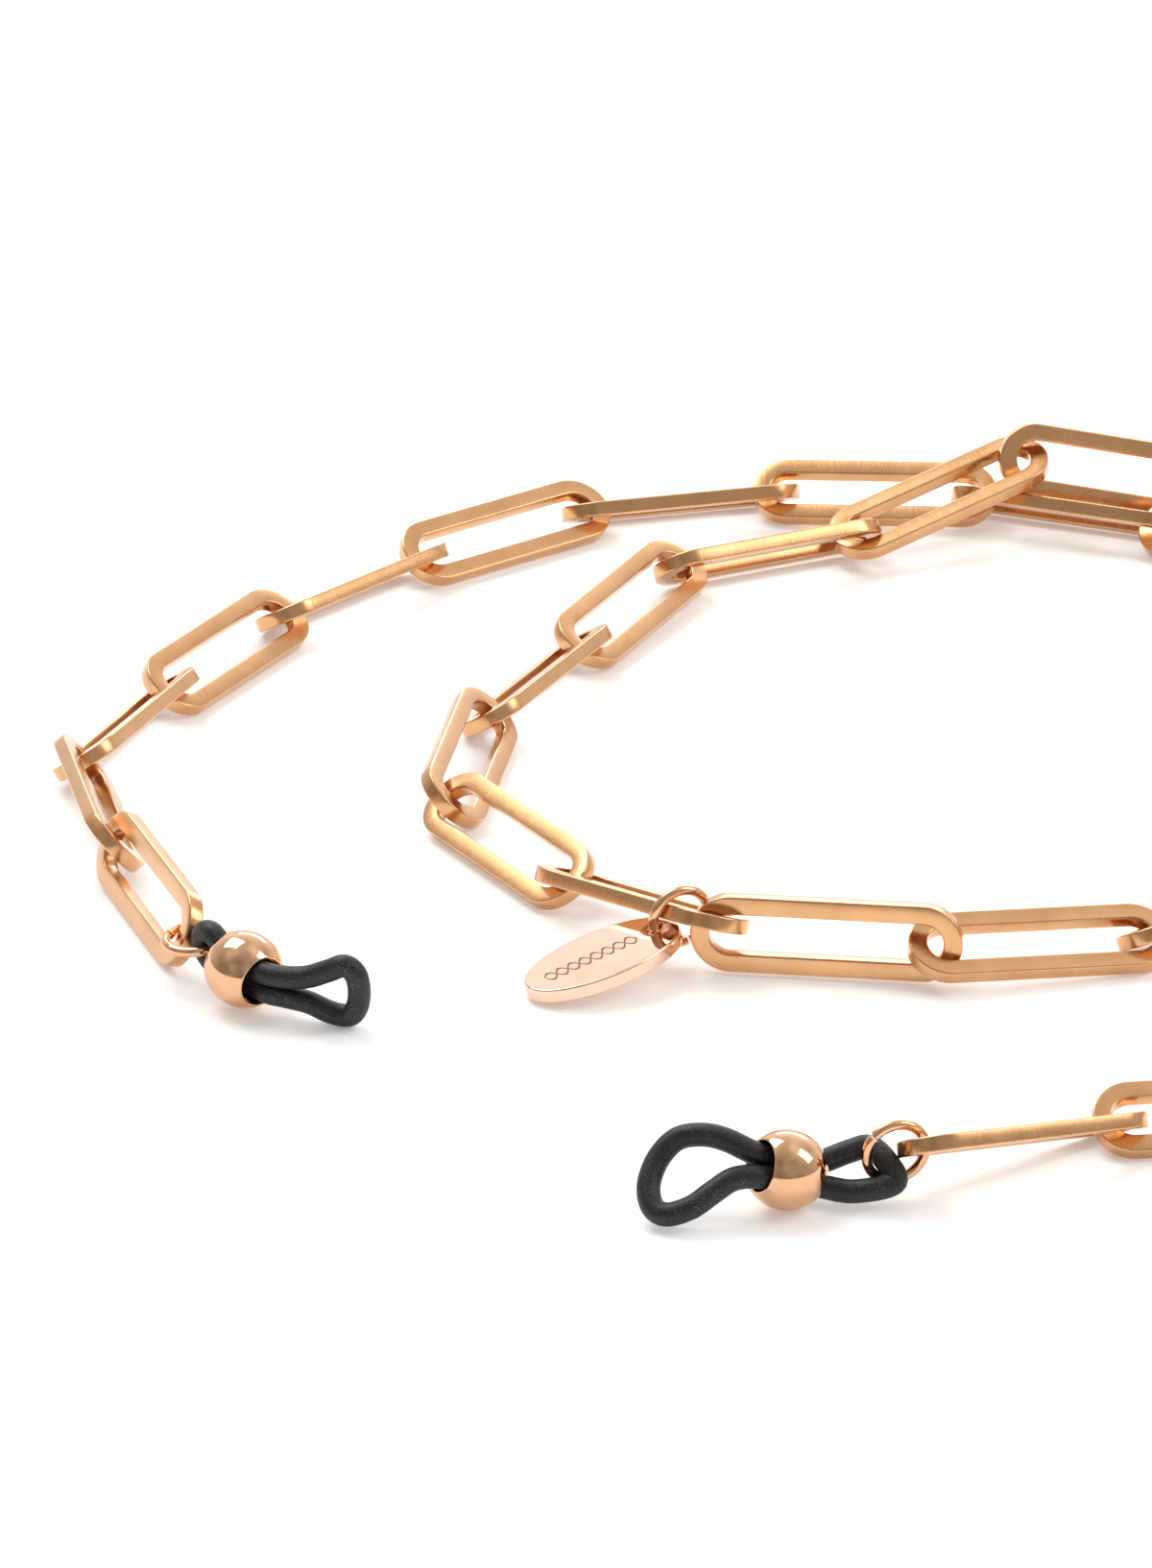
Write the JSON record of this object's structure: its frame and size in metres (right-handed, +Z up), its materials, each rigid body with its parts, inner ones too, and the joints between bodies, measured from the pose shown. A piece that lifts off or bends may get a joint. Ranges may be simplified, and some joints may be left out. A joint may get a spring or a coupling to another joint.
{
  "type": "eyeglasses chain strap",
  "caption": "Eyeglasses chain strap: flat oval paperclip links, a rubber temple loop with a sliding bead at each end, and an oval tag on a jump ring.",
  "frame": {"origin": "middle of the footprint of the laid-out strap, on the plane it rests on", "axes": "+Z up; +X to the right and +Y away from a viewer who stands where both temple loops are nearest"},
  "size_m": [0.1565, 0.1411, 0.0097],
  "materials": {
    "brushed_rose_gold": "rose gold plating with fine cross-wise brush lines",
    "polished_rose_gold": "mirror polished rose gold plating",
    "black_rubber": "matte with a light dust"
  },
  "bodies": {
    "link_01": {"link_01": "brushed_rose_gold"},
    "link_02": {"link_02": "brushed_rose_gold"},
    "link_03": {"link_03": "brushed_rose_gold"},
    "link_04": {"link_04": "brushed_rose_gold"},
    "link_05": {"link_05": "brushed_rose_gold"},
    "link_06": {"link_06": "brushed_rose_gold"},
    "link_07": {"link_07": "brushed_rose_gold"},
    "link_08": {"link_08": "brushed_rose_gold"},
    "link_09": {"link_09": "brushed_rose_gold"},
    "link_10": {"link_10": "brushed_rose_gold"},
    "link_11": {"link_11": "brushed_rose_gold"},
    "link_12": {"link_12": "brushed_rose_gold"},
    "link_13": {"link_13": "brushed_rose_gold"},
    "link_14": {"link_14": "brushed_rose_gold"},
    "link_15": {"link_15": "brushed_rose_gold"},
    "link_16": {"link_16": "brushed_rose_gold"},
    "link_17": {"link_17": "brushed_rose_gold"},
    "link_18": {"link_18": "brushed_rose_gold"},
    "link_19": {"link_19": "brushed_rose_gold"},
    "link_20": {"link_20": "brushed_rose_gold"},
    "link_21": {"link_21": "brushed_rose_gold"},
    "link_22": {"link_22": "brushed_rose_gold"},
    "link_23": {"link_23": "brushed_rose_gold"},
    "link_24": {"link_24": "brushed_rose_gold"},
    "link_25": {"link_25": "brushed_rose_gold"},
    "link_26": {"link_26": "brushed_rose_gold"},
    "link_27": {"link_27": "brushed_rose_gold"},
    "link_28": {"link_28": "brushed_rose_gold"},
    "link_29": {"link_29": "brushed_rose_gold"},
    "link_30": {"link_30": "brushed_rose_gold"},
    "link_31": {"link_31": "brushed_rose_gold"},
    "link_32": {"link_32": "brushed_rose_gold"},
    "link_33": {"link_33": "brushed_rose_gold"},
    "link_34": {"link_34": "brushed_rose_gold"},
    "link_35": {"link_35": "brushed_rose_gold"},
    "link_36": {"link_36": "brushed_rose_gold"},
    "link_37": {"link_37": "brushed_rose_gold"},
    "left_rubber_loop": {"left_rubber_loop": "black_rubber"},
    "left_slide_bead": {"left_slide_bead": "polished_rose_gold"},
    "left_end_ring": {"left_end_ring": "polished_rose_gold"},
    "right_rubber_loop": {"right_rubber_loop": "black_rubber"},
    "right_slide_bead": {"right_slide_bead": "polished_rose_gold"},
    "right_end_ring": {"right_end_ring": "polished_rose_gold"},
    "tag_ring": {"tag_ring": "polished_rose_gold"},
    "tag": {"tag": "polished_rose_gold"}
  },
  "joints": [
    {"name": "link_17_swing", "type": "hinge", "parent": "link_18", "child": "link_17", "pos_m": [-0.02418, -0.02595, 0.00399], "axis": [-0.4375, -0.8992, 0], "range_deg": [0, 5]},
    {"name": "link_16_swing", "type": "hinge", "parent": "link_17", "child": "link_16", "pos_m": [-0.00698, -0.02787, 0.00328], "axis": [-0.0522, 0.9986, 0], "range_deg": [0, 5]},
    {"name": "link_15_swing", "type": "hinge", "parent": "link_16", "child": "link_15", "pos_m": [0.0098, -0.02401, 0.0021], "axis": [-0.4067, 0.9135, 0], "range_deg": [0, 5]},
    {"name": "link_14_swing", "type": "hinge", "parent": "link_15", "child": "link_14", "pos_m": [0.02392, -0.01401, 0.0032], "axis": [-0.6757, 0.7372, 0], "range_deg": [0, 5]},
    {"name": "link_13_swing", "type": "hinge", "parent": "link_14", "child": "link_13", "pos_m": [0.03515, -0.00076, 0.00292], "axis": [-0.8746, 0.4849, 0], "range_deg": [0, 5]},
    {"name": "link_12_swing", "type": "hinge", "parent": "link_13", "child": "link_12", "pos_m": [0.04058, 0.01588, 0.00212], "axis": [-0.9962, 0.0871, 0], "range_deg": [0, 5]},
    {"name": "link_11_swing", "type": "hinge", "parent": "link_12", "child": "link_11", "pos_m": [0.03809, 0.03326, 0.00224], "axis": [-0.9483, -0.3173, 0], "range_deg": [0, 5]},
    {"name": "link_10_swing", "type": "hinge", "parent": "link_11", "child": "link_10", "pos_m": [0.02958, 0.04859, 0.00228], "axis": [-0.7771, -0.6293, 0], "range_deg": [0, 5]},
    {"name": "link_09_swing", "type": "hinge", "parent": "link_10", "child": "link_09", "pos_m": [0.01631, 0.06012, 0.00228], "axis": [-0.515, -0.8572, 0], "range_deg": [0, 5]},
    {"name": "link_08_swing", "type": "hinge", "parent": "link_09", "child": "link_08", "pos_m": [-0.0001, 0.06637, 0.00242], "axis": [0, 0, 1], "range_deg": [-12, 12]},
    {"name": "link_07_swing", "type": "hinge", "parent": "link_08", "child": "link_07", "pos_m": [-0.01753, 0.06794, 0.00214], "axis": [0, 0, -1], "range_deg": [-12, 12]},
    {"name": "link_06_swing", "type": "hinge", "parent": "link_07", "child": "link_06", "pos_m": [-0.03451, 0.06375, 0.00218], "axis": [0, 0, -1], "range_deg": [-12, 12]},
    {"name": "link_05_swing", "type": "hinge", "parent": "link_06", "child": "link_05", "pos_m": [-0.04845, 0.05306, 0.00225], "axis": [0, 0, 1], "range_deg": [-12, 12]},
    {"name": "link_04_swing", "type": "hinge", "parent": "link_05", "child": "link_04", "pos_m": [-0.06049, 0.04019, 0.0022], "axis": [0, 0, 1], "range_deg": [-12, 8]},
    {"name": "link_03_swing", "type": "hinge", "parent": "link_04", "child": "link_03", "pos_m": [-0.06925, 0.0249, 0.00224], "axis": [0, 0, -1], "range_deg": [-12, 12]},
    {"name": "link_02_swing", "type": "hinge", "parent": "link_03", "child": "link_02", "pos_m": [-0.07612, 0.00859, 0.0029], "axis": [0, 0, -1], "range_deg": [-12, 12]},
    {"name": "link_01_swing", "type": "hinge", "parent": "link_02", "child": "link_01", "pos_m": [-0.0722, -0.00863, 0.00318], "axis": [0, 0, 1], "range_deg": [-12, 12]},
    {"name": "link_19_swing", "type": "hinge", "parent": "link_18", "child": "link_19", "pos_m": [-0.03618, -0.01354, 0.0024], "axis": [0.7828, 0.6223, 0], "range_deg": [0, 5]},
    {"name": "link_20_swing", "type": "hinge", "parent": "link_19", "child": "link_20", "pos_m": [-0.04571, 0.00123, 0.00248], "axis": [0.9799, 0.1994, 0], "range_deg": [0, 5]},
    {"name": "link_21_swing", "type": "hinge", "parent": "link_20", "child": "link_21", "pos_m": [-0.04272, 0.01871, 0.00241], "axis": [0.9511, -0.309, 0], "range_deg": [0, 5]},
    {"name": "link_22_swing", "type": "hinge", "parent": "link_21", "child": "link_22", "pos_m": [-0.03458, 0.03429, 0.00221], "axis": [0.887, -0.4618, 0], "range_deg": [0, 5]},
    {"name": "link_23_swing", "type": "hinge", "parent": "link_22", "child": "link_23", "pos_m": [-0.0267, 0.04995, 0.00275], "axis": [0.6883, -0.7254, 0], "range_deg": [0, 5]},
    {"name": "link_24_swing", "type": "hinge", "parent": "link_23", "child": "link_24", "pos_m": [-0.01078, 0.05689, 0.00247], "axis": [0.4459, -0.8951, 0], "range_deg": [0, 5]},
    {"name": "link_25_swing", "type": "hinge", "parent": "link_24", "child": "link_25", "pos_m": [0.0039, 0.06502, 0.00694], "axis": [0, 0, -1], "range_deg": [-12, 6]},
    {"name": "link_26_swing", "type": "hinge", "parent": "link_25", "child": "link_26", "pos_m": [0.02085, 0.06676, 0.00272], "axis": [0, 0, 1], "range_deg": [-12, 12]},
    {"name": "link_27_swing", "type": "hinge", "parent": "link_26", "child": "link_27", "pos_m": [0.03799, 0.06311, 0.00222], "axis": [0, 0, 1], "range_deg": [-12, 12]},
    {"name": "link_28_swing", "type": "hinge", "parent": "link_27", "child": "link_28", "pos_m": [0.05319, 0.05432, 0.00224], "axis": [0, 0, -1], "range_deg": [-12, 12]},
    {"name": "link_29_swing", "type": "hinge", "parent": "link_28", "child": "link_29", "pos_m": [0.06517, 0.04148, 0.00224], "axis": [0, 0, -1], "range_deg": [-12, 12]},
    {"name": "link_30_swing", "type": "hinge", "parent": "link_29", "child": "link_30", "pos_m": [0.07286, 0.0257, 0.00224], "axis": [0, 0, 1], "range_deg": [-12, 12]},
    {"name": "link_31_swing", "type": "hinge", "parent": "link_30", "child": "link_31", "pos_m": [0.07561, 0.00837, 0.00224], "axis": [0, 0, 1], "range_deg": [-12, 12]},
    {"name": "link_32_swing", "type": "hinge", "parent": "link_31", "child": "link_32", "pos_m": [0.07316, -0.00902, 0.00224], "axis": [0, 0, -1], "range_deg": [-12, 12]},
    {"name": "link_33_swing", "type": "hinge", "parent": "link_32", "child": "link_33", "pos_m": [0.06574, -0.02492, 0.00224], "axis": [0, 0, -1], "range_deg": [-12, 12]},
    {"name": "link_34_swing", "type": "hinge", "parent": "link_33", "child": "link_34", "pos_m": [0.05422, -0.03815, 0.00224], "axis": [0, 0, 1], "range_deg": [-12, 12]},
    {"name": "link_35_swing", "type": "hinge", "parent": "link_34", "child": "link_35", "pos_m": [0.03967, -0.04794, 0.00224], "axis": [0, 0, 1], "range_deg": [-12, 12]},
    {"name": "link_36_swing", "type": "hinge", "parent": "link_35", "child": "link_36", "pos_m": [0.02325, -0.05425, 0.0022], "axis": [0, 0, -1], "range_deg": [-12, 12]},
    {"name": "link_37_swing", "type": "hinge", "parent": "link_36", "child": "link_37", "pos_m": [0.00576, -0.056, 0.00195], "axis": [0, 0, -1], "range_deg": [-12, 12]},
    {"name": "left_end_ring_swing", "type": "hinge", "parent": "link_01", "child": "left_end_ring", "pos_m": [-0.06571, -0.02622, 0.00314], "axis": [0, 0, 1], "range_deg": [-30, 30]},
    {"name": "left_rubber_loop_swing", "type": "hinge", "parent": "left_end_ring", "child": "left_rubber_loop", "pos_m": [-0.06444, -0.02767, 0.00367], "axis": [0, 0, 1], "range_deg": [-30, 30]},
    {"name": "left_slide_bead_slide", "type": "slide", "parent": "left_rubber_loop", "child": "left_slide_bead", "axis": [0.6269, -0.7742, -0.0872], "range_m": [-0.0001, 0.0006]},
    {"name": "right_end_ring_swing", "type": "hinge", "parent": "link_37", "child": "right_end_ring", "pos_m": [-0.01019, -0.0655, 0.00452], "axis": [0.4957, -0.7237, 0.4801], "range_deg": [-15, 3]},
    {"name": "right_rubber_loop_swing", "type": "hinge", "parent": "right_end_ring", "child": "right_rubber_loop", "pos_m": [-0.01208, -0.06551, 0.00354], "axis": [0.128, -0.7782, -0.6148], "range_deg": [-15, 12]},
    {"name": "right_slide_bead_slide", "type": "slide", "parent": "right_rubber_loop", "child": "right_slide_bead", "axis": [-0.9912, -0.1217, -0.0523], "range_m": [-0.0006, 0.0006]},
    {"name": "tag_ring_swing", "type": "hinge", "parent": "link_18", "child": "tag_ring", "pos_m": [-0.02757, -0.02508, 0.00495], "axis": [-0.7032, 0.7032, -0.1045], "range_deg": [-15, 15]},
    {"name": "tag_swing", "type": "hinge", "parent": "tag_ring", "child": "tag", "pos_m": [-0.0276, -0.02454, 0.00325], "axis": [-0.4978, 0.8655, -0.0548], "range_deg": [-12, 9]}
  ]
}
